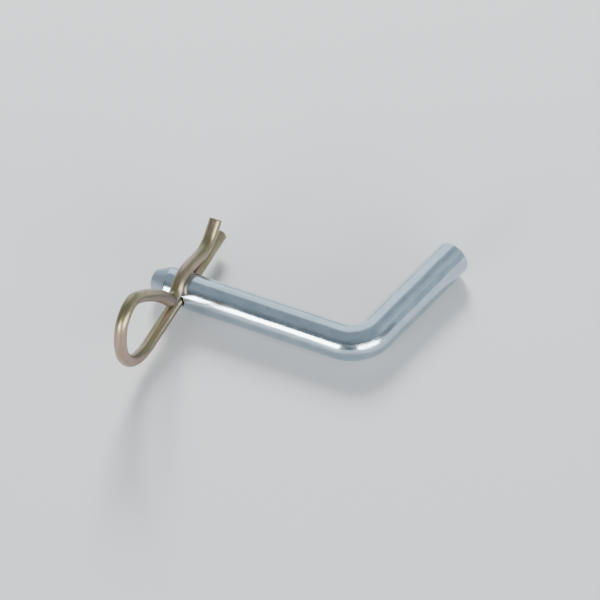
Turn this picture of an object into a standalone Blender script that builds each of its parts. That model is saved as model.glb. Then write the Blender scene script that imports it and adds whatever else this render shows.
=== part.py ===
"""Hitch pin lock: a bent round pin, held by a hairpin spring clip through its cross hole.

Metres, +Z up. The pin lies on z = 0 with its shank along X, the nose towards -X and the handle towards +Y.
The clip stands upright across the shank: its straight leg runs along Y through the cross hole, its finger
eye is on the -Y side, and its bowed arm passes over the top of the shank.
The origin is the bottom centre of the whole object's box.
"""
import math

import bmesh
import bpy
from mathutils import Vector

OBJECT_NAME = "hitch_pin_lock"

# Pin
PIN_DIAMETER = 0.0127
SHANK_LENGTH = 0.0790          # nose face to the corner where the two centrelines meet
HANDLE_LENGTH = 0.0541         # that corner to the handle's end face
BEND_ANGLE = math.radians(101) # inside angle between shank and handle
BEND_RADIUS = 0.0105           # of the centreline
HOLE_FROM_NOSE = 0.0120        # nose face to the cross hole's axis
HOLE_CLEARANCE = 0.0004        # between the wire and the wall of the hole
NOSE_LENGTH = 0.0060
NOSE_TAPER = math.radians(28)
NOSE_ROUND_RADIUS = 0.0018
HANDLE_CHAMFER = 0.0006

# Clip, seen in its own plane: s runs along the straight leg and away from the eye, t points up.
# The pin's axis crosses that plane at (0, 0), which is also on the straight leg's centreline.
WIRE_DIAMETER = 0.0045
CONTACT_GAP = 0.0003           # between solids that touch
LEG_TIP = 0.0289               # s of the straight leg's free end
WIRE_CHAMFER = 0.0004
PINCH_RADIUS = 0.0044          # bend between the eye and the bow
DIAGONAL_RADIUS = 0.1230       # the shallow run from the pinch up to the top of the eye
DIAGONAL_LOW_SLOPE = math.radians(53)
DIAGONAL_HIGH_SLOPE = math.radians(36)
CROWN_RADIUS = 0.0078          # the tight bend at the top of the eye
HEEL_START_SLOPE = math.radians(-78.5)
BOW_EXIT_SLOPE = math.radians(-17.7)
THROAT_RADIUS = 0.0091         # bend between the bow and the flared tip
FLARE_SLOPE = math.radians(43)
FLARE_LENGTH = 0.0057
FLEX_POINT_ANGLE = math.radians(21)  # how far round the heel, from the leg, the spring arm starts
FLEX_GAP = 0.0004

PIN_RADIUS = PIN_DIAMETER / 2
WIRE_RADIUS = WIRE_DIAMETER / 2
BOW_RADIUS = PIN_RADIUS + CONTACT_GAP + WIRE_RADIUS
ARM_HEIGHT = WIRE_DIAMETER + CONTACT_GAP  # of the arm's centreline over the leg's, at pinch and throat

# Facets
PIN_BEVEL_RESOLUTION = 14      # 32 sides
WIRE_BEVEL_RESOLUTION = 6      # 16 sides
HOLE_SIDES = 32
ARC_STEP = math.radians(9)     # largest turn between two rings
ARC_CHORD = 0.005              # largest distance between two rings of a bend
NOSE_ROUND_STEPS = 5


def clear_scene():
    for scene_object in list(bpy.data.objects):
        bpy.data.objects.remove(scene_object, do_unlink=True)


def new_collection(name):
    collection = bpy.data.collections.new(name)
    bpy.context.scene.collection.children.link(collection)
    return collection


def metal(name, colour, roughness):
    material = bpy.data.materials.new(name)
    material.use_nodes = True
    shader = material.node_tree.nodes["Principled BSDF"]
    shader.inputs["Base Color"].default_value = (*colour, 1.0)
    shader.inputs["Metallic"].default_value = 1.0
    shader.inputs["Roughness"].default_value = roughness
    material.diffuse_color = (*colour, 1.0)
    return material


def arc_steps(radius, angle):
    return max(2, math.ceil(abs(angle) / ARC_STEP), math.ceil(abs(radius * angle) / ARC_CHORD))


class WirePath:
    """A run of the clip's centreline in its plane, drawn bend by bend from a starting point.

    side is -1 for a run towards the eye and +1 for a run towards the free ends. The slope is positive
    where the run climbs.
    """

    def __init__(self, s, t, slope, side):
        self.points = [(s, t)]
        self.slope = slope
        self.side = side

    def turn(self, radius, slope):
        """Bends to a new slope. A positive radius is a bend over the top, a negative one a dip."""
        s, t = self.points[-1]
        start = self.slope
        steps = arc_steps(radius, slope - start)
        for step in range(1, steps + 1):
            now = start + (slope - start) * step / steps
            ds = -self.side * radius * (math.sin(now) - math.sin(start))
            dt = radius * (math.cos(now) - math.cos(start))
            self.points.append((s + ds, t + dt))
        self.slope = slope

    def straight(self, length):
        s, t = self.points[-1]
        ds = self.side * length * math.cos(self.slope)
        dt = length * math.sin(self.slope)
        self.points.append((s + ds, t + dt))


def spring_arm_outline():
    """Centreline of the sprung part, and the point and radius where the heel bend meets the leg."""
    to_eye = WirePath(0.0, BOW_RADIUS, 0.0, -1)
    bow_end = math.acos((ARM_HEIGHT + PINCH_RADIUS) / (BOW_RADIUS + PINCH_RADIUS))
    to_eye.turn(BOW_RADIUS, -bow_end)
    to_eye.turn(-PINCH_RADIUS, DIAGONAL_LOW_SLOPE)
    to_eye.turn(DIAGONAL_RADIUS, DIAGONAL_HIGH_SLOPE)
    to_eye.turn(CROWN_RADIUS, HEEL_START_SLOPE)
    crown_end_s, crown_end_t = to_eye.points[-1]
    heel_radius = crown_end_t / (1 + math.cos(HEEL_START_SLOPE))
    heel_end_s = crown_end_s - heel_radius * math.sin(HEEL_START_SLOPE)
    half_gap = FLEX_GAP / 2 / heel_radius
    to_eye.turn(heel_radius, -math.pi + FLEX_POINT_ANGLE + half_gap)

    to_tip = WirePath(0.0, BOW_RADIUS, 0.0, 1)
    to_tip.turn(BOW_RADIUS, BOW_EXIT_SLOPE)
    throat_drop = THROAT_RADIUS * (1 - math.cos(BOW_EXIT_SLOPE))
    drop = to_tip.points[-1][1] - throat_drop - ARM_HEIGHT
    to_tip.straight(drop / -math.sin(BOW_EXIT_SLOPE))
    to_tip.turn(-THROAT_RADIUS, FLARE_SLOPE)
    to_tip.straight(FLARE_LENGTH - WIRE_CHAMFER)
    to_tip.straight(WIRE_CHAMFER)
    return to_eye.points[::-1] + to_tip.points[1:], heel_end_s, heel_radius


def straight_leg_outline(heel_end_s, heel_radius):
    leg = WirePath(LEG_TIP, 0.0, 0.0, -1)
    leg.straight(WIRE_CHAMFER)
    leg.straight(LEG_TIP - WIRE_CHAMFER - heel_end_s)
    leg.turn(-heel_radius, FLEX_POINT_ANGLE - FLEX_GAP / 2 / heel_radius)
    return leg.points


def nose_rings():
    """Distance from the nose face, and radius, of the rings of the nose, from its face to its shoulder."""
    round_centre = NOSE_ROUND_RADIUS
    taper_meets = round_centre - NOSE_ROUND_RADIUS * math.sin(NOSE_TAPER)
    taper_radius = PIN_RADIUS - (NOSE_LENGTH - taper_meets) * math.tan(NOSE_TAPER)
    face_radius = taper_radius - NOSE_ROUND_RADIUS * math.cos(NOSE_TAPER)
    rings = []
    for step in range(NOSE_ROUND_STEPS + 1):
        angle = (math.pi / 2 - NOSE_TAPER) * step / NOSE_ROUND_STEPS
        distance = round_centre - NOSE_ROUND_RADIUS * math.cos(angle)
        rings.append((distance, face_radius + NOSE_ROUND_RADIUS * math.sin(angle)))
    rings.append((NOSE_LENGTH, PIN_RADIUS))
    return rings


def handle_direction():
    return Vector((-math.cos(BEND_ANGLE), math.sin(BEND_ANGLE), 0.0))


def pin_rings():
    """Centre and radius of the pin's rings, from the nose face to the handle's end face."""
    rings = [(Vector((distance - SHANK_LENGTH, 0.0, 0.0)), radius) for distance, radius in nose_rings()]
    turn = math.pi - BEND_ANGLE
    setback = BEND_RADIUS * math.tan(turn / 2)
    steps = arc_steps(BEND_RADIUS, turn)
    for step in range(steps + 1):
        angle = turn * step / steps
        along = BEND_RADIUS * math.sin(angle) - setback
        across = BEND_RADIUS * (1 - math.cos(angle))
        rings.append((Vector((along, across, 0.0)), PIN_RADIUS))
    handle = handle_direction()
    rings.append((handle * (HANDLE_LENGTH - HANDLE_CHAMFER), PIN_RADIUS))
    rings.append((handle * HANDLE_LENGTH, PIN_RADIUS - HANDLE_CHAMFER))
    return rings


def round_bar(name, rings, full_radius, bevel_resolution, material, collection):
    """A round bar swept along its rings, as a closed mesh object."""
    curve = bpy.data.curves.new(name, "CURVE")
    curve.dimensions = "3D"
    curve.bevel_depth = full_radius
    curve.bevel_resolution = bevel_resolution
    curve.use_fill_caps = True
    spline = curve.splines.new("POLY")
    spline.points.add(len(rings) - 1)
    for point, (centre, radius) in zip(spline.points, rings):
        point.co = (*centre, 1.0)
        point.radius = radius / full_radius
    sweep = bpy.data.objects.new(name + "_sweep", curve)
    collection.objects.link(sweep)
    evaluated = sweep.evaluated_get(bpy.context.evaluated_depsgraph_get())
    mesh = bpy.data.meshes.new_from_object(evaluated)
    bar_mesh = bmesh.new()
    bar_mesh.from_mesh(mesh)
    bmesh.ops.remove_doubles(bar_mesh, verts=bar_mesh.verts, dist=1e-6)
    bar_mesh.to_mesh(mesh)
    bar_mesh.free()
    mesh.name = name
    mesh.materials.clear()
    mesh.materials.append(material)
    mesh.shade_smooth()
    mesh.set_sharp_from_angle(angle=math.radians(30))
    bar = bpy.data.objects.new(name, mesh)
    bar.matrix_world = sweep.matrix_world
    collection.objects.link(bar)
    bpy.data.objects.remove(sweep, do_unlink=True)
    return bar


def cross_hole_cutter(collection):
    """Cylinder along Y that cuts the clip's hole through the shank."""
    mesh = bpy.data.meshes.new("cross_hole_cutter")
    cylinder = bmesh.new()
    radius = WIRE_RADIUS + HOLE_CLEARANCE
    bmesh.ops.create_cone(
        cylinder, cap_ends=True, segments=HOLE_SIDES, radius1=radius, radius2=radius, depth=2 * PIN_DIAMETER
    )
    cylinder.to_mesh(mesh)
    cylinder.free()
    cutter = bpy.data.objects.new("cross_hole_cutter", mesh)
    cutter.rotation_euler = (math.pi / 2, 0.0, 0.0)
    cutter.location = (HOLE_FROM_NOSE - SHANK_LENGTH, 0.0, 0.0)
    cutter.hide_render = True
    cutter.display_type = "WIRE"
    collection.objects.link(cutter)
    return cutter


def build_pin(collection, cutters):
    zinc = metal("zinc_plate", (0.70, 0.74, 0.79), 0.22)
    pin = round_bar("hitch_pin", pin_rings(), PIN_RADIUS, PIN_BEVEL_RESOLUTION, zinc, collection)
    cutter = cross_hole_cutter(cutters)
    cutter.parent = pin
    hole = pin.modifiers.new("cross_hole", "BOOLEAN")
    hole.operation = "DIFFERENCE"
    hole.solver = "EXACT"
    hole.object = cutter
    return pin


def wire_rings(outline, origin, chamfered_end):
    """Rings of a stretch of the clip's wire, in metres from an origin given in the clip's plane."""
    rings = [(Vector((0.0, s - origin[0], t - origin[1])), WIRE_RADIUS) for s, t in outline]
    rings[chamfered_end] = (rings[chamfered_end][0], WIRE_RADIUS - WIRE_CHAMFER)
    return rings


def build_clip(collection, pin_centre):
    """The straight leg, placed at the cross hole, and the spring arm, placed at its flexing point."""
    chromate = metal("yellow_chromate", (0.58, 0.50, 0.37), 0.30)
    arm_outline, heel_end_s, heel_radius = spring_arm_outline()
    leg_outline = straight_leg_outline(heel_end_s, heel_radius)
    leg = round_bar(
        "clip_straight_leg", wire_rings(leg_outline, (0.0, 0.0), 0),
        WIRE_RADIUS, WIRE_BEVEL_RESOLUTION, chromate, collection,
    )
    leg.location = pin_centre + Vector((HOLE_FROM_NOSE - SHANK_LENGTH, 0.0, 0.0))

    flex_s = heel_end_s - heel_radius * math.sin(FLEX_POINT_ANGLE)
    flex_t = heel_radius * (1 - math.cos(FLEX_POINT_ANGLE))
    arm = round_bar(
        "clip_spring_arm", wire_rings(arm_outline, (flex_s, flex_t), -1),
        WIRE_RADIUS, WIRE_BEVEL_RESOLUTION, chromate, collection,
    )
    arm.parent = leg
    arm.location = (0.0, flex_s, flex_t)
    return leg, arm


def box_of(parts):
    """Lowest and highest corner of the parts' evaluated meshes, in world space."""
    depsgraph = bpy.context.evaluated_depsgraph_get()
    corners = []
    for part in parts:
        evaluated = part.evaluated_get(depsgraph)
        corners += [evaluated.matrix_world @ vertex.co for vertex in evaluated.data.vertices]
    low = Vector(min(corner[axis] for corner in corners) for axis in range(3))
    high = Vector(max(corner[axis] for corner in corners) for axis in range(3))
    return low, high


def main():
    clear_scene()
    collection = new_collection(OBJECT_NAME)
    cutters = new_collection("cutters")
    whole = bpy.data.objects.new(OBJECT_NAME + "_origin", None)
    collection.objects.link(whole)

    pin_centre = Vector((0.0, 0.0, PIN_RADIUS))
    pin = build_pin(collection, cutters)
    pin.location = pin_centre
    leg, arm = build_clip(collection, pin_centre)
    pin.parent = whole
    leg.parent = whole

    bpy.context.view_layer.update()
    low, high = box_of([pin, leg, arm])
    whole.location = (-(low.x + high.x) / 2, -(low.y + high.y) / 2, -low.z)


main()
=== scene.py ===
"""Looks of the hitch pin lock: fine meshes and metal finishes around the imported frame, with a floor,
lights and a camera."""

import math

import bmesh
import bpy
import numpy as np
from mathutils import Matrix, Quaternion, Vector


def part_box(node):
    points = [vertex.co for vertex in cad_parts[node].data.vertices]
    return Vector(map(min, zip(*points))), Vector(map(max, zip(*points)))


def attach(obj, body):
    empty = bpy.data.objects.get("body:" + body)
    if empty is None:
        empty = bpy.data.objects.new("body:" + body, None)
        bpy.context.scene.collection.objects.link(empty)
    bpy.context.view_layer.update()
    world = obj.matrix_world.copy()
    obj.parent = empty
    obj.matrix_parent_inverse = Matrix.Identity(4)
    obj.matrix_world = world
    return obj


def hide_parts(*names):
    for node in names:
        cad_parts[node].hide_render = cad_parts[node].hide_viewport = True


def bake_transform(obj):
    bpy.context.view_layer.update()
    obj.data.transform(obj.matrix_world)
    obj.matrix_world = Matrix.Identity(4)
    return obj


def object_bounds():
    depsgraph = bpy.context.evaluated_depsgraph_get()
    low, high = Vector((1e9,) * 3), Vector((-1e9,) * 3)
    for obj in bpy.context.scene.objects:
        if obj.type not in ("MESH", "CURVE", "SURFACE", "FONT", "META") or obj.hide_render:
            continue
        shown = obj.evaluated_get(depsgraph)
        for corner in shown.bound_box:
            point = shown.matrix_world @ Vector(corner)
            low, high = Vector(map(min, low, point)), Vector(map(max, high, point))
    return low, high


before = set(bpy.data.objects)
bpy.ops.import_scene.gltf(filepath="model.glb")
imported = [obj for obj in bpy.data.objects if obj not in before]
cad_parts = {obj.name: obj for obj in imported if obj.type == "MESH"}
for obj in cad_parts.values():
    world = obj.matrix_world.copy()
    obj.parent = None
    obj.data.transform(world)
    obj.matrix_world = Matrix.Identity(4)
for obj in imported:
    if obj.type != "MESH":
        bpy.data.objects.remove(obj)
cad_low, cad_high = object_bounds()

MM = 0.001

# Read from the frame
pin_low, pin_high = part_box("hitch_pin")
leg_low, leg_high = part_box("clip_straight_leg")
PIN_RADIUS = (pin_high.z - pin_low.z) / 2
WIRE_RADIUS = (leg_high.x - leg_low.x) / 2
NOSE = Vector((pin_low.x, pin_low.y + PIN_RADIUS, pin_low.z + PIN_RADIUS))
CLIP_X = (leg_low.x + leg_high.x) / 2
LEG_TIP = leg_high.y - NOSE.y

# The bent bar
SHANK_LENGTH = 79.0 * MM
HANDLE_LENGTH = 54.1 * MM
BEND_ANGLE = math.radians(101)
BEND_RADIUS = 10.5 * MM
NOSE_LENGTH = 6.0 * MM
NOSE_TAPER = math.radians(28)
NOSE_ROUND_RADIUS = 1.8 * MM
SHOULDER_ROUND = 0.5 * MM
HANDLE_EDGE = 0.6 * MM
HOLE_RADIUS = 2.65 * MM
HOLE_EDGE = 0.18 * MM
HOLE_AT = CLIP_X - NOSE.x

# The clip's wire, in its own plane: s along the straight leg, t up, (0, 0) on the pin's axis
CONTACT_GAP = 0.05 * MM
ARM_HEIGHT = 2 * WIRE_RADIUS + 0.3 * MM
BOW_RADIUS = PIN_RADIUS + CONTACT_GAP + WIRE_RADIUS
PINCH_RADIUS = 4.4 * MM
DIAGONAL_RADIUS = 123.0 * MM
DIAGONAL_LOW_SLOPE = math.radians(53)
DIAGONAL_HIGH_SLOPE = math.radians(36)
CROWN_RADIUS = 7.8 * MM
HEEL_START_SLOPE = math.radians(-78.5)
BOW_EXIT_SLOPE = math.radians(-17.7)
THROAT_RADIUS = 9.1 * MM
FLARE_SLOPE = math.radians(43)
FLARE_LENGTH = 5.7 * MM
WIRE_EDGE = 0.35 * MM
HEEL_BENDS = (59 * MM, 74 * MM)  # along the wire: the part that bends when the arm springs open
# Along the wire: the middle and reach of each bend that is pinker than the rest
BLUSHES = ((81 * MM, 26 * MM), (144 * MM, 10 * MM), (171 * MM, 11 * MM))

# Mesh fineness
PIN_SIDES = 96
WIRE_SIDES = 40
WIRE_STEP = 0.45 * MM
WIRE_PATH_STEP = 0.2 * MM  # of the centreline, before it is resampled
LEAST_TURN_STEPS = 4
LEAST_STRAIGHT_STEPS = 2
EASING_PASSES = 6
WIRE_EDGE_STEPS = 5
RINGS_LEFT_OUT = 2  # beside each rounded end of the wire
TURN_STEP = math.radians(1.5)
NOSE_ROUND_STEPS = 24
NOSE_TAPER_STEPS = 11
SHOULDER_STEPS = 5
ROWS_BEFORE_HOLE = 3
SHANK_ROWS = 60
HANDLE_ROWS = 50
HANDLE_EDGE_STEPS = 5
CAP_SHARES = (0.75, 0.5, 0.25)  # of the end's radius, for the rings that close it
SHARP_ANGLE = math.radians(30)

# The patch round each mouth of the cross hole
PATCH_HALF = 11  # rows and columns on each side of the hole's middle
PATCH_ROW_PITCH = 0.4 * MM
PATCH_RINGS = 9
PATCH_SPREAD = 0.8  # below 1, the rings crowd towards the hole
HOLE_EDGE_STEPS = 4
HOLE_WALL_STEPS = 12

UNBENT = "unbent"  # the vertex attribute that holds a place on the bar or wire as if it were straight
BEND_TURN = math.pi - BEND_ANGLE
BEND_SETBACK = BEND_RADIUS * math.tan(BEND_TURN / 2)
BEND_START = SHANK_LENGTH - BEND_SETBACK
BEND_RUN = BEND_RADIUS * BEND_TURN
BAR_LENGTH = BEND_START + BEND_RUN + HANDLE_LENGTH - BEND_SETBACK


# ---------------------------------------------------------------- mesh helpers

def add_vertex(mesh, place, unbent):
    vertex = mesh.verts.new(place)
    vertex[mesh.verts.layers.float_vector[UNBENT]] = unbent
    return vertex


def add_ring(mesh, centre, side, up, radius, count, along):
    """A ring of vertices round a centre, starting at the side direction and turning towards up."""
    ring = []
    for k in range(count):
        across = radius * math.cos(2 * math.pi * k / count)
        above = radius * math.sin(2 * math.pi * k / count)
        ring.append(add_vertex(mesh, centre + across * side + above * up, (along, across, above)))
    return ring


def new_mesh():
    mesh = bmesh.new()
    mesh.verts.layers.float_vector.new(UNBENT)
    return mesh


def join_rings(mesh, first, second):
    count = len(first)
    for k in range(count):
        nxt = (k + 1) % count
        mesh.faces.new((first[k], first[nxt], second[nxt], second[k]))


def finish_mesh(name, mesh):
    """Turns a bmesh into an object with smooth shading and outward faces."""
    bmesh.ops.recalc_face_normals(mesh, faces=mesh.faces)
    data = bpy.data.meshes.new(name)
    mesh.to_mesh(data)
    mesh.free()
    data.shade_smooth()
    data.set_sharp_from_angle(angle=SHARP_ANGLE)
    piece = bpy.data.objects.new(name, data)
    bpy.context.scene.collection.objects.link(piece)
    return piece


# ---------------------------------------------------------------- the bent pin

def nose_profile():
    """(distance from the nose face, radius) from the face to the full shank, with a soft shoulder."""
    taper_meets = NOSE_ROUND_RADIUS * (1 - math.sin(NOSE_TAPER))
    taper_radius = PIN_RADIUS - (NOSE_LENGTH - taper_meets) * math.tan(NOSE_TAPER)
    face_radius = taper_radius - NOSE_ROUND_RADIUS * math.cos(NOSE_TAPER)
    rings = []
    for step in range(NOSE_ROUND_STEPS + 1):
        angle = (math.pi / 2 - NOSE_TAPER) * step / NOSE_ROUND_STEPS
        distance = NOSE_ROUND_RADIUS * (1 - math.cos(angle))
        rings.append((distance, face_radius + NOSE_ROUND_RADIUS * math.sin(angle)))
    start = rings[-1]
    for step in range(1, NOSE_TAPER_STEPS):
        share = step / NOSE_TAPER_STEPS
        distance = start[0] + share * (NOSE_LENGTH - start[0])
        rings.append((distance, start[1] + share * (PIN_RADIUS - start[1])))
    tangent = SHOULDER_ROUND / math.cos(NOSE_TAPER)
    before = (NOSE_LENGTH - tangent * math.cos(NOSE_TAPER), PIN_RADIUS - tangent * math.sin(NOSE_TAPER))
    after = (NOSE_LENGTH + tangent, PIN_RADIUS)
    for step in range(SHOULDER_STEPS + 1):
        share = step / SHOULDER_STEPS
        a = (1 - share) ** 2
        b = 2 * share * (1 - share)
        c = share ** 2
        rings.append((a * before[0] + b * NOSE_LENGTH + c * after[0],
                      a * before[1] + b * PIN_RADIUS + c * after[1]))
    return rings


def hole_block_rows():
    """Distances from the nose face of the rows that the hole's patch spans."""
    return [HOLE_AT + k * PATCH_ROW_PITCH for k in range(-PATCH_HALF, PATCH_HALF + 1)]


def pin_path():
    """Rows of the bar: (distance along it, centre, side direction, radius). Also returns the numbers of the
    first and last row that the hole's patch spans."""
    rows = []
    along_x = Vector((1, 0, 0))
    side = Vector((0, 1, 0))
    for distance, radius in nose_profile():
        rows.append((distance, NOSE + along_x * distance, side, radius))
    block = hole_block_rows()
    for distance in np.linspace(rows[-1][0], block[0], ROWS_BEFORE_HOLE)[1:-1]:
        rows.append((float(distance), NOSE + along_x * float(distance), side, PIN_RADIUS))
    first_block_row = len(rows)
    for distance in block:
        rows.append((distance, NOSE + along_x * distance, side, PIN_RADIUS))
    last_block_row = len(rows) - 1
    for distance in np.linspace(block[-1], BEND_START, SHANK_ROWS)[1:]:
        rows.append((float(distance), NOSE + along_x * float(distance), side, PIN_RADIUS))
    steps = math.ceil(BEND_TURN / TURN_STEP)
    bend_centre = NOSE + Vector((BEND_START, BEND_RADIUS, 0))
    for step in range(1, steps + 1):
        angle = BEND_TURN * step / steps
        inward = Vector((-math.sin(angle), math.cos(angle), 0))
        centre = bend_centre - BEND_RADIUS * inward
        rows.append((BEND_START + BEND_RADIUS * angle, centre, inward, PIN_RADIUS))
    bend_end = BEND_START + BEND_RUN
    handle = Vector((-math.cos(BEND_ANGLE), math.sin(BEND_ANGLE), 0))
    handle_side = Vector((-handle.y, handle.x, 0))
    handle_start = NOSE + along_x * SHANK_LENGTH + handle * BEND_SETBACK
    straight = HANDLE_LENGTH - BEND_SETBACK
    for length in map(float, np.linspace(0, straight - HANDLE_EDGE, HANDLE_ROWS)[1:]):
        rows.append((bend_end + length, handle_start + handle * length, handle_side, PIN_RADIUS))
    for step in range(1, HANDLE_EDGE_STEPS + 1):
        angle = math.pi / 2 * step / HANDLE_EDGE_STEPS
        out = HANDLE_EDGE * math.sin(angle)
        drop = HANDLE_EDGE * (1 - math.cos(angle))
        length = straight - HANDLE_EDGE + out
        rows.append((bend_end + length, handle_start + handle * length, handle_side, PIN_RADIUS - drop))
    return rows, first_block_row, last_block_row


def hole_patch(mesh, grid, first_row, last_row, columns, facing):
    """Fills the window left in the shank with a patch that runs into the hole's rounded edge.
    Returns the ring of vertices at the foot of that edge."""
    loop = []
    for row in range(first_row, last_row):
        loop.append(grid[row][columns[0]])
    for column in columns[:-1]:
        loop.append(grid[last_row][column])
    for row in range(last_row, first_row, -1):
        loop.append(grid[row][columns[-1]])
    for column in columns[:0:-1]:
        loop.append(grid[first_row][column])
    hole = NOSE + Vector((HOLE_AT, 0, 0))

    def on_shank(dx, arc):
        angle = arc / PIN_RADIUS
        return hole + PIN_RADIUS * Vector((dx / PIN_RADIUS, facing * math.cos(angle), math.sin(angle)))

    def flat(vertex):
        offset = vertex.co - hole
        return offset.x, PIN_RADIUS * math.asin(max(-1, min(1, offset.z / PIN_RADIUS)))

    outline = [flat(vertex) for vertex in loop]
    angles = [math.atan2(arc, dx) for dx, arc in outline]
    rim = HOLE_RADIUS + HOLE_EDGE

    def rim_flat(angle, radius):
        return radius * math.cos(angle), PIN_RADIUS * math.asin(radius * math.sin(angle) / PIN_RADIUS)

    previous = loop
    for step in range(1, PATCH_RINGS + 1):
        share = (step / PATCH_RINGS) ** PATCH_SPREAD
        ring = []
        for (dx, arc), angle in zip(outline, angles):
            rx, ra = rim_flat(angle, rim)
            place = on_shank(dx + share * (rx - dx), arc + share * (ra - arc))
            ring.append(add_vertex(mesh, place, place - NOSE))
        join_rings(mesh, previous, ring)
        previous = ring
    for step in range(1, HOLE_EDGE_STEPS + 1):
        turn = math.pi / 2 * step / HOLE_EDGE_STEPS
        radius = HOLE_RADIUS + HOLE_EDGE * (1 - math.sin(turn))
        sink = HOLE_EDGE * (1 - math.cos(turn))
        ring = []
        for angle in angles:
            z = radius * math.sin(angle)
            y = math.sqrt(PIN_RADIUS ** 2 - z ** 2) - sink
            place = hole + Vector((radius * math.cos(angle), facing * y, z))
            ring.append(add_vertex(mesh, place, place - NOSE))
        join_rings(mesh, previous, ring)
        previous = ring
    return previous


def round_the_hole(ring):
    """A ring of the hole's vertices, put in order round its axis."""
    return sorted(ring, key=lambda vertex: math.atan2(vertex.co.z - NOSE.z, vertex.co.x - CLIP_X))


def bent_pin():
    mesh = new_mesh()
    rows, first_row, last_row = pin_path()
    up = Vector((0, 0, 1))
    grid = []
    for along, centre, side, radius in rows:
        grid.append(add_ring(mesh, centre, side, up, radius, PIN_SIDES, along))
    windows = {}
    for facing, middle in ((1, 0), (-1, PIN_SIDES // 2)):
        windows[facing] = [(middle + k) % PIN_SIDES for k in range(-PATCH_HALF, PATCH_HALF + 1)]
    inside = set()
    for columns in windows.values():
        for row in range(first_row, last_row):
            for column in columns[:-1]:
                inside.add((row, column))
    for row in range(len(grid) - 1):
        for column in range(PIN_SIDES):
            if (row, column) in inside:
                continue
            nxt = (column + 1) % PIN_SIDES
            mesh.faces.new((grid[row][column], grid[row][nxt], grid[row + 1][nxt], grid[row + 1][column]))
    feet = {}
    for facing, columns in windows.items():
        feet[facing] = hole_patch(mesh, grid, first_row, last_row, columns, facing)
    # The hole's wall joins the two feet: matched by their place round the hole
    far = round_the_hole(feet[-1])
    near = round_the_hole(feet[1])
    previous = near
    for step in range(1, HOLE_WALL_STEPS):
        share = step / HOLE_WALL_STEPS
        places = [a.co.lerp(b.co, share) for a, b in zip(near, far)]
        ring = [add_vertex(mesh, place, place - NOSE) for place in places]
        join_rings(mesh, previous, ring)
        previous = ring
    join_rings(mesh, previous, far)
    # The vertices inside the windows belong to no face
    for columns in windows.values():
        for row in range(first_row + 1, last_row):
            for column in columns[1:-1]:
                mesh.verts.remove(grid[row][column])
    for end, row in ((0, rows[0]), (-1, rows[-1])):
        cap_end(mesh, grid[end], row[1], row[2], up, row[3], row[0])
    return finish_mesh("bent_pin", mesh)


def cap_end(mesh, ring, centre, side, up, radius, along):
    """Closes a bar's end with concentric rings, so that its face carries its own shading."""
    previous = ring
    for share in CAP_SHARES:
        inner = add_ring(mesh, centre, side, up, radius * share, len(ring), along)
        join_rings(mesh, previous, inner)
        previous = inner
    middle = add_vertex(mesh, centre, (along, 0, 0))
    count = len(previous)
    for k in range(count):
        mesh.faces.new((previous[k], previous[(k + 1) % count], middle))


# ---------------------------------------------------------------- the hairpin clip

class WirePath:
    """A run of the clip's centreline in its plane, drawn bend by bend from a starting point."""

    def __init__(self, s, t, slope, side):
        self.points = [(s, t)]
        self.slope = slope
        self.side = side

    def turn(self, radius, slope):
        s, t = self.points[-1]
        start = self.slope
        steps = max(LEAST_TURN_STEPS, math.ceil(abs(radius * (slope - start)) / WIRE_PATH_STEP))
        for step in range(1, steps + 1):
            now = start + (slope - start) * step / steps
            ds = -self.side * radius * (math.sin(now) - math.sin(start))
            dt = radius * (math.cos(now) - math.cos(start))
            self.points.append((s + ds, t + dt))
        self.slope = slope

    def straight(self, length):
        s, t = self.points[-1]
        steps = max(LEAST_STRAIGHT_STEPS, math.ceil(length / WIRE_PATH_STEP))
        for step in range(1, steps + 1):
            reach = length * step / steps
            ds = self.side * reach * math.cos(self.slope)
            dt = reach * math.sin(self.slope)
            self.points.append((s + ds, t + dt))


def clip_centreline():
    """The whole wire's centreline, from the straight leg's free end to the flared tip."""
    to_eye = WirePath(0.0, BOW_RADIUS, 0.0, -1)
    bow_end = math.acos((ARM_HEIGHT + PINCH_RADIUS) / (BOW_RADIUS + PINCH_RADIUS))
    to_eye.turn(BOW_RADIUS, -bow_end)
    to_eye.turn(-PINCH_RADIUS, DIAGONAL_LOW_SLOPE)
    to_eye.turn(DIAGONAL_RADIUS, DIAGONAL_HIGH_SLOPE)
    to_eye.turn(CROWN_RADIUS, HEEL_START_SLOPE)
    crown_end_s, crown_end_t = to_eye.points[-1]
    heel_radius = crown_end_t / (1 + math.cos(HEEL_START_SLOPE))
    heel_end_s = crown_end_s - heel_radius * math.sin(HEEL_START_SLOPE)
    to_eye.turn(heel_radius, -math.pi)
    to_eye.straight(LEG_TIP - heel_end_s)

    to_tip = WirePath(0.0, BOW_RADIUS, 0.0, 1)
    to_tip.turn(BOW_RADIUS, BOW_EXIT_SLOPE)
    throat_drop = THROAT_RADIUS * (1 - math.cos(BOW_EXIT_SLOPE))
    drop = to_tip.points[-1][1] - throat_drop - ARM_HEIGHT
    to_tip.straight(drop / -math.sin(BOW_EXIT_SLOPE))
    to_tip.turn(-THROAT_RADIUS, FLARE_SLOPE)
    to_tip.straight(FLARE_LENGTH)
    return np.array(to_eye.points[::-1] + to_tip.points[1:])


def even_steps(points, step):
    """The same line, resampled at even steps, with its bends eased into each other."""
    lengths = np.r_[0, np.cumsum(np.hypot(*np.diff(points, axis=0).T))]
    count = math.ceil(lengths[-1] / step)
    at = np.linspace(0, lengths[-1], count + 1)
    line = np.column_stack([np.interp(at, lengths, points[:, axis]) for axis in range(2)])
    for _ in range(EASING_PASSES):
        line[1:-1] = (line[:-2] + 2 * line[1:-1] + line[2:]) / 4
    return at, line


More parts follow.
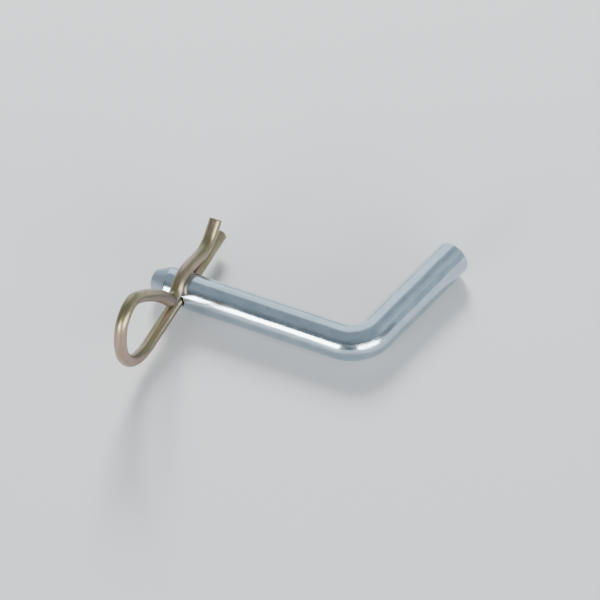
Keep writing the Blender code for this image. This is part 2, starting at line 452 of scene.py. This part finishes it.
def hairpin_clip():
    """The clip's wire as three meshes that meet at whole rings: the straight leg, the part of the heel where
    the real wire bends when the arm springs open, and the spring arm. Also returns where that bending starts
    and ends."""
    at, line = even_steps(clip_centreline(), WIRE_STEP)
    tangents = np.gradient(line, axis=0)
    tangents /= np.linalg.norm(tangents, axis=1)[:, None]
    last = len(line) - 1
    bend_from, bend_to = (int(np.searchsorted(at, along)) for along in HEEL_BENDS)
    origin = Vector((CLIP_X, NOSE.y, NOSE.z))
    side = Vector((1, 0, 0))

    def centre_of(k):
        return origin + Vector((0, line[k][0], line[k][1]))

    def up_at(k):
        return Vector((0, -tangents[k][1], tangents[k][0]))

    def ring_at(mesh, k, radius, reach=0.0):
        centre = centre_of(k) + Vector((0, tangents[k][0], tangents[k][1])) * reach
        return add_ring(mesh, centre, side, up_at(k), radius, WIRE_SIDES, float(at[k]) + reach)

    def rounded_end(mesh, k, outward):
        """Rings of a rounded cut edge, going outwards; outward is the sign of that way along the wire."""
        rings = []
        for step in range(WIRE_EDGE_STEPS + 1):
            angle = math.pi / 2 * step / WIRE_EDGE_STEPS
            reach = WIRE_EDGE * (math.sin(angle) - 1) * outward
            rings.append(ring_at(mesh, k, WIRE_RADIUS - WIRE_EDGE * (1 - math.cos(angle)), reach))
        return rings

    pieces = []
    for name, first, final in (("hairpin_leg", 0, bend_from), ("hairpin_heel", bend_from, bend_to),
                               ("hairpin_arm", bend_to, last)):
        mesh = new_mesh()
        rings = rounded_end(mesh, first, -1)[::-1] if first == 0 else []
        whole = range(max(first, RINGS_LEFT_OUT), min(final, last - RINGS_LEFT_OUT) + 1)
        rings += [ring_at(mesh, k, WIRE_RADIUS) for k in whole]
        rings += rounded_end(mesh, final, 1) if final == last else []
        for ring, following in zip(rings[:-1], rings[1:]):
            join_rings(mesh, ring, following)
        for ring, k in ((rings[0], first), (rings[-1], final)):
            radius = WIRE_RADIUS - WIRE_EDGE if k in (0, last) else WIRE_RADIUS
            cap_end(mesh, ring, centre_of(k), side, up_at(k), radius, float(at[k]))
        pieces.append(finish_mesh(name, mesh))
    # The last ring leans, so the returned end of the bending is set early enough for the whole of that ring
    # to lie in the arm's part
    slack = WIRE_RADIUS * abs(tangents[bend_to][1])
    return pieces, centre_of(bend_from), centre_of(bend_to) + Vector((0, slack, 0))


# ---------------------------------------------------------------- materials

class Nodes:
    """Short ways to add shader nodes. An input is a number, a colour, a vector or another node's output."""

    def __init__(self, tree):
        self.tree = tree

    def link(self, value, socket):
        if isinstance(value, bpy.types.NodeSocket):
            self.tree.links.new(value, socket)
        elif socket.type == "RGBA":
            socket.default_value = (*value, 1)
        else:
            socket.default_value = value

    def add(self, kind, settings=None, **inputs):
        node = self.tree.nodes.new(kind)
        for name, value in (settings or {}).items():
            setattr(node, name, value)
        for name, value in inputs.items():
            self.link(value, node.inputs[name])
        return node

    def ramp(self, value, low, high, to_low=0.0, to_high=1.0):
        """Follows a value smoothly from low to high, and holds still outside them."""
        node = self.add("ShaderNodeMapRange", {"interpolation_type": "SMOOTHSTEP"}, Value=value)
        limits = {"From Min": low, "From Max": high, "To Min": to_low, "To Max": to_high}
        for name, number in limits.items():
            self.link(number, node.inputs[name])
        return node.outputs["Result"]

    def math(self, operation, first, second=0.0):
        node = self.add("ShaderNodeMath", {"operation": operation})
        self.link(first, node.inputs[0])
        self.link(second, node.inputs[1])
        return node.outputs[0]

    def mix(self, data_type, sockets, factor, first, second):
        """Mixes two values. A mix node keeps a set of sockets for each kind of data, with the same names, so
        they are found by number: first input, second input, output."""
        node = self.add("ShaderNodeMix", {"data_type": data_type})
        self.link(factor, node.inputs["Factor"])
        self.link(first, node.inputs[sockets[0]])
        self.link(second, node.inputs[sockets[1]])
        return node.outputs[sockets[2]]

    def mix_colour(self, factor, first, second):
        return self.mix("RGBA", (6, 7, 2), factor, first, second)

    def mix_number(self, factor, first, second):
        return self.mix("FLOAT", (2, 3, 0), factor, first, second)

    def noise(self, place, sizes, detail=2.0, roughness=0.5, distortion=0.0):
        """Noise whose grains are about the given sizes along, across and across, in metres."""
        scale = tuple(1 / size for size in sizes)
        scaled = self.add("ShaderNodeMapping", Vector=place, Scale=scale).outputs["Vector"]
        node = self.add("ShaderNodeTexNoise", Vector=scaled, Scale=1.0, Detail=detail, Roughness=roughness)
        self.link(distortion, node.inputs["Distortion"])
        return node.outputs["Fac"]

    def unbent(self):
        """The place on the bar or wire as if it were straight, and how far along it that is."""
        place = self.add("ShaderNodeAttribute", {"attribute_name": UNBENT}).outputs["Vector"]
        return place, self.add("ShaderNodeSeparateXYZ", Vector=place).outputs["X"]

    def near(self, place, centre, reach):
        """1 at a place on the unbent bar, falling smoothly to 0 at the given reach along and across."""
        scale = tuple(1 / size for size in reach)
        middle = tuple(-position / size for position, size in zip(centre, reach))
        local = self.add("ShaderNodeMapping", Vector=place, Scale=scale, Location=middle).outputs["Vector"]
        away = self.add("ShaderNodeVectorMath", {"operation": "LENGTH"})
        self.link(local, away.inputs[0])
        return self.ramp(away.outputs["Value"], 1.0, 0.0)

    def bump(self, height, depth, normal=None):
        node = self.add("ShaderNodeBump", Height=height, Strength=1.0, Distance=depth)
        if normal is not None:
            self.link(normal, node.inputs["Normal"])
        return node.outputs["Normal"]


def new_metal(name):
    material = bpy.data.materials.new(name)
    material.use_nodes = True
    kit = Nodes(material.node_tree)
    shader = material.node_tree.nodes["Principled BSDF"]
    shader.inputs["Metallic"].default_value = 1
    return material, kit, shader


ZINC = (0.435, 0.53, 0.60)
ZINC_PALE = (0.50, 0.595, 0.66)
ZINC_STREAK = (0.37, 0.455, 0.52)
ZINC_CUT = (0.35, 0.43, 0.49)
# The next colour paints dark reflections at the bend
ZINC_PAINTED_DARK_REFLECTION = (0.17, 0.195, 0.22)
ZINC_SPECK = (0.28, 0.33, 0.37)
CHROMATE_OLIVE = (0.262, 0.238, 0.132)
CHROMATE_TAN = (0.335, 0.268, 0.18)
CHROMATE_PINK = (0.40, 0.275, 0.22)
CHROMATE_DULL = (0.25, 0.215, 0.165)


def zinc_plate():
    """Bright blue-white zinc on drawn bar: streaks, faint clouds, matt cut ends, a crumpled bend, and dark
    reflections painted at the bend.
    """
    material, kit, shader = new_metal("zinc_plate")
    place, along = kit.unbent()
    streaks = kit.noise(place, (24 * MM, 0.5 * MM, 0.5 * MM), 3, 0.6)
    fine = kit.noise(place, (6 * MM, 0.12 * MM, 0.12 * MM), 2, 0.6)
    clouds = kit.noise(place, (5 * MM, 2.5 * MM, 2.5 * MM), 3, 0.55)
    grain = kit.noise(place, (0.3 * MM, 0.3 * MM, 0.3 * MM), 2, 0.5)
    turned = kit.ramp(along, NOSE_LENGTH + 0.1 * MM, NOSE_LENGTH - 0.2 * MM)
    sawn = kit.ramp(along, BAR_LENGTH - 0.3 * MM, BAR_LENGTH - 0.05 * MM)
    matt = kit.math("MAXIMUM", turned, sawn)

    # Where the bar was bent, its skin is slightly crumpled. A dark spot in the bend and a dark streak past
    # it are painted dark reflections, which also roughen and dent the skin a little
    bent = kit.near(place, (BEND_START + 0.5 * BEND_RUN, -0.5 * PIN_RADIUS, 0.6 * PIN_RADIUS),
                    (0.6 * BEND_RUN, 1.2 * PIN_RADIUS, 1.2 * PIN_RADIUS))
    crumple = kit.noise(place, (2.6 * MM, 1.5 * MM, 1.5 * MM), 2, 0.5)
    painted_reflection_ragging_noise = kit.noise(place, (4 * MM, 0.4 * MM, 0.4 * MM), 3, 0.6)
    painted_reflection_streak = kit.near(place, (BEND_START + BEND_RUN + 0.5 * MM, -0.73 * PIN_RADIUS, 0.68 * PIN_RADIUS),
                     (8.5 * MM, 1.6 * MM, 1.6 * MM))
    painted_reflection_spot = kit.near(place, (BEND_START + 4.0 * MM, -0.83 * PIN_RADIUS, 0.56 * PIN_RADIUS),
                    (3.2 * MM, 1.8 * MM, 1.8 * MM))
    painted_reflection_ragged = kit.math("ADD", kit.math("MAXIMUM", painted_reflection_streak, painted_reflection_spot), kit.math("MULTIPLY", painted_reflection_ragging_noise, 1.8))
    dents_and_painted_dark_reflection = kit.ramp(painted_reflection_ragged, 1.2, 1.6)
    specks = kit.ramp(kit.noise(place, (0.7 * MM, 0.4 * MM, 0.4 * MM), 1, 0.5), 0.70, 0.80)

    # Lathe rings on the nose and saw marks on the other end
    radius = kit.add("ShaderNodeVectorMath", {"operation": "LENGTH"})
    across = kit.add("ShaderNodeMapping", Vector=place, Scale=(0, 1, 1)).outputs["Vector"]
    kit.link(across, radius.inputs[0])
    lathe = kit.add("ShaderNodeCombineXYZ", X=along, Y=radius.outputs["Value"]).outputs["Vector"]
    rings = kit.math("MULTIPLY", kit.noise(lathe, (0.16 * MM, 0.16 * MM, 1 * MM), 1, 0.5), turned)
    saw = kit.math("MULTIPLY", kit.noise(place, (1 * MM, 0.18 * MM, 4 * MM), 2, 0.5), sawn)

    tint = kit.mix_colour(kit.ramp(clouds, 0.35, 0.68), ZINC, ZINC_PALE)
    tint = kit.mix_colour(kit.ramp(streaks, 0.48, 0.75, 0, 0.5), tint, ZINC_STREAK)
    tint = kit.mix_colour(kit.math("MULTIPLY", matt, 0.8), tint, ZINC_CUT)
    # Painted dark reflections at the bend: a dark spot in the bend and a streak past it
    tint = kit.mix_colour(kit.math("MULTIPLY", dents_and_painted_dark_reflection, 0.8), tint, ZINC_PAINTED_DARK_REFLECTION)
    tint = kit.mix_colour(kit.math("MULTIPLY", specks, 0.4), tint, ZINC_SPECK)
    kit.link(tint, shader.inputs["Base Color"])

    plated = kit.math("ADD", kit.ramp(clouds, 0.3, 0.7, 0.12, 0.18), kit.ramp(streaks, 0.4, 0.75, 0.0, 0.09))
    # The mask of the painted dark reflections also makes the skin rougher there
    plated = kit.math("ADD", plated, kit.math("MULTIPLY", dents_and_painted_dark_reflection, 0.12))
    rough = kit.mix_number(matt, plated, kit.ramp(grain, 0.3, 0.7, 0.38, 0.50))
    kit.link(rough, shader.inputs["Roughness"])

    normal = kit.bump(streaks, 0.006 * MM)
    normal = kit.bump(fine, 0.0015 * MM, normal)
    normal = kit.bump(clouds, 0.02 * MM, normal)
    normal = kit.bump(kit.math("MULTIPLY", crumple, bent), 0.18 * MM, normal)
    # The painted dark reflections are also pressed in slightly, as shallow dents
    hollows = kit.math("ADD", kit.math("MULTIPLY", dents_and_painted_dark_reflection, -1.0), kit.math("MULTIPLY", specks, -0.25))
    normal = kit.bump(hollows, 0.008 * MM, normal)
    normal = kit.bump(kit.math("ADD", rings, saw), 0.012 * MM, normal)
    kit.link(normal, shader.inputs["Normal"])
    return material


def yellow_chromate():
    """Yellow chromate on spring wire: tan, with olive and pink bands that wander along the wire, and olive
    painted as a sheen on the faces that look up.
    """
    material, kit, shader = new_metal("yellow_chromate")
    place, along = kit.unbent()
    facing = kit.add("ShaderNodeTexCoord").outputs["Normal"]
    faces_up_for_painted_sheen = kit.add("ShaderNodeSeparateXYZ", Vector=facing).outputs["Z"]
    wander = kit.noise(place, (14 * MM, 2.2 * MM, 2.2 * MM), 3, 0.55, 0.6)
    # Olive where the wire faces up: a painted sheen, the tint the chromate film shows at that angle, taken
    # off the wandering bands
    bands_and_painted_sheen = kit.math("SUBTRACT", wander, kit.ramp(faces_up_for_painted_sheen, -0.4, 1.0, -0.02, 0.11))
    # Pinker where the wire was bent: round the heel, at the pinch and over the bow
    blush = 0.0
    for middle, reach in BLUSHES:
        blush = kit.math("MAXIMUM", blush, kit.near(place, (middle, 0, 0), (reach, PIN_RADIUS, PIN_RADIUS)))
    bands_and_painted_sheen = kit.math("ADD", bands_and_painted_sheen, kit.math("MULTIPLY", blush, 0.2))
    patches = kit.noise(place, (3 * MM, 1.4 * MM, 1.4 * MM), 4, 0.6)
    streaks = kit.noise(place, (9 * MM, 0.2 * MM, 0.2 * MM), 2, 0.6)

    # Olive where the bands are low, which includes the painted sheen on faces that look up
    tint = kit.mix_colour(kit.ramp(bands_and_painted_sheen, 0.36, 0.47), CHROMATE_OLIVE, CHROMATE_TAN)
    tint = kit.mix_colour(kit.ramp(bands_and_painted_sheen, 0.47, 0.62), tint, CHROMATE_PINK)
    tint = kit.mix_colour(kit.ramp(patches, 0.5, 0.75, 0, 0.5), tint, CHROMATE_DULL)
    kit.link(tint, shader.inputs["Base Color"])
    rough = kit.math("ADD", kit.ramp(patches, 0.3, 0.7, 0.28, 0.40), kit.ramp(streaks, 0.4, 0.7, 0.0, 0.1))
    kit.link(rough, shader.inputs["Roughness"])
    normal = kit.bump(streaks, 0.003 * MM)
    normal = kit.bump(patches, 0.012 * MM, normal)
    kit.link(normal, shader.inputs["Normal"])
    return material


# ---------------------------------------------------------------- stage

CAMERA_AZIMUTH = math.radians(25)
CAMERA_ELEVATION = math.radians(46)
CAMERA_DISTANCE = 6.0
CAMERA_AIM = Vector((0.0071, 0.0018, 0.0179))
VIEW_WIDTH = 0.2058  # of the picture, at the aim
CLIP_START = 0.01

FLOOR_HALF_WIDTH = 4.0
FLOOR_DROP = 0.0001  # below the object, so that the two surfaces don't share a plane
FLOOR_COLOUR = (0.66, 0.66, 0.66, 1)
FLOOR_ROUGHNESS = 0.7
LIGHT_DISTANCE = 1.5
SKY_IN_FRONT = (0.21, 0.23, 0.25)
SKY_BEHIND = (0.66, 0.76, 0.84)
SKY_OVERHEAD = (0.46, 0.51, 0.56)


def direction(azimuth, elevation):
    """From the object towards a place round it: azimuth 0 is -Y and 90 is +X."""
    level = math.cos(elevation)
    return Vector((math.sin(azimuth) * level, -math.cos(azimuth) * level, math.sin(elevation)))


def make_camera():
    data = bpy.data.cameras.new("camera")
    data.lens = data.sensor_width * CAMERA_DISTANCE / VIEW_WIDTH
    data.clip_start = CLIP_START
    camera = bpy.data.objects.new("camera", data)
    bpy.context.scene.collection.objects.link(camera)
    back = direction(CAMERA_AZIMUTH, CAMERA_ELEVATION)
    camera.location = CAMERA_AIM + back * CAMERA_DISTANCE
    camera.rotation_euler = (-back).to_track_quat("-Z", "Y").to_euler()
    bpy.context.scene.camera = camera


def make_floor():
    mesh = bmesh.new()
    bmesh.ops.create_grid(mesh, x_segments=1, y_segments=1, size=FLOOR_HALF_WIDTH)
    data = bpy.data.meshes.new("floor")
    mesh.to_mesh(data)
    mesh.free()
    floor = bpy.data.objects.new("floor", data)
    floor.location.z = cad_low.z - FLOOR_DROP
    bpy.context.scene.collection.objects.link(floor)
    material = bpy.data.materials.new("floor")
    material.use_nodes = True
    shader = material.node_tree.nodes["Principled BSDF"]
    shader.inputs["Base Color"].default_value = FLOOR_COLOUR
    shader.inputs["Roughness"].default_value = FLOOR_ROUGHNESS
    floor.data.materials.append(material)
    return floor


def softbox(name, azimuth, elevation, half_width, half_height, radiance, colour=(1, 1, 1), roll=0):
    """A soft rectangular light facing the object: its place and half sizes are in degrees as the object sees
    them, and its roll is in degrees about the line to the object."""
    data = bpy.data.lights.new(name, "AREA")
    data.shape = "RECTANGLE"
    data.size = 2 * LIGHT_DISTANCE * math.tan(math.radians(half_width))
    data.size_y = 2 * LIGHT_DISTANCE * math.tan(math.radians(half_height))
    data.energy = radiance * math.pi * data.size * data.size_y
    data.color = colour
    light = bpy.data.objects.new(name, data)
    back = direction(math.radians(azimuth), math.radians(elevation))
    light.location = back * LIGHT_DISTANCE
    turned = (-back).to_track_quat("-Z", "Y") @ Quaternion((0, 0, 1), math.radians(roll))
    light.rotation_euler = turned.to_euler()
    light.visible_camera = False
    bpy.context.scene.collection.objects.link(light)
    return light


def make_lights(floor):
    softbox("window_left", -12.5, 11.2, 11.5, 10.2, 22)
    softbox("window_right", 63.5, 11.2, 22.5, 10.2, 15)
    softbox("back_left", -146.5, 31.5, 21, 24, 0.9, (0.88, 0.96, 1), roll=-35)
    softbox("back_right", 133, 45, 13, 9, 0.2, (0.9, 0.97, 1))
    softbox("low_right", 112, 3, 18, 5, 0.6, (0.9, 0.97, 1))
    # A light for the floor alone: it gives the soft shadow, and the metal mirrors only the lights above
    key = softbox("key", -152, 32, 9, 9, 52)
    only_floor = bpy.data.collections.new("lit_by_key")
    only_floor.objects.link(floor)
    key.light_linking.receiver_collection = only_floor


def make_world():
    """Dim in front of the object, where the camera stands, and lighter behind it."""
    world = bpy.data.worlds.new("studio")
    bpy.context.scene.world = world
    world.use_nodes = True
    kit = Nodes(world.node_tree)
    sky = kit.add("ShaderNodeTexCoord").outputs["Generated"]
    parts = kit.add("ShaderNodeSeparateXYZ", Vector=sky).outputs
    behind = kit.ramp(parts["Y"], -0.75, 0.75)
    overhead = kit.ramp(parts["Z"], 0.6, 0.95)
    around = kit.mix_colour(behind, SKY_IN_FRONT, SKY_BEHIND)
    colour = kit.mix_colour(overhead, around, SKY_OVERHEAD)
    background = world.node_tree.nodes["Background"]
    kit.link(colour, background.inputs["Color"])


make_camera()
make_lights(make_floor())
make_world()

pin = bent_pin()
pin.data.materials.append(zinc_plate())
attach(pin, "pin")
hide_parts("hitch_pin")

(leg, heel, arm), heel_start, heel_end = hairpin_clip()
chromate = yellow_chromate()
for piece in (leg, heel, arm):
    piece.data.materials.append(chromate)
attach(leg, "clip")
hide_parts("clip_straight_leg")
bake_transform(heel)
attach(arm, "clip_arm")
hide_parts("clip_spring_arm")
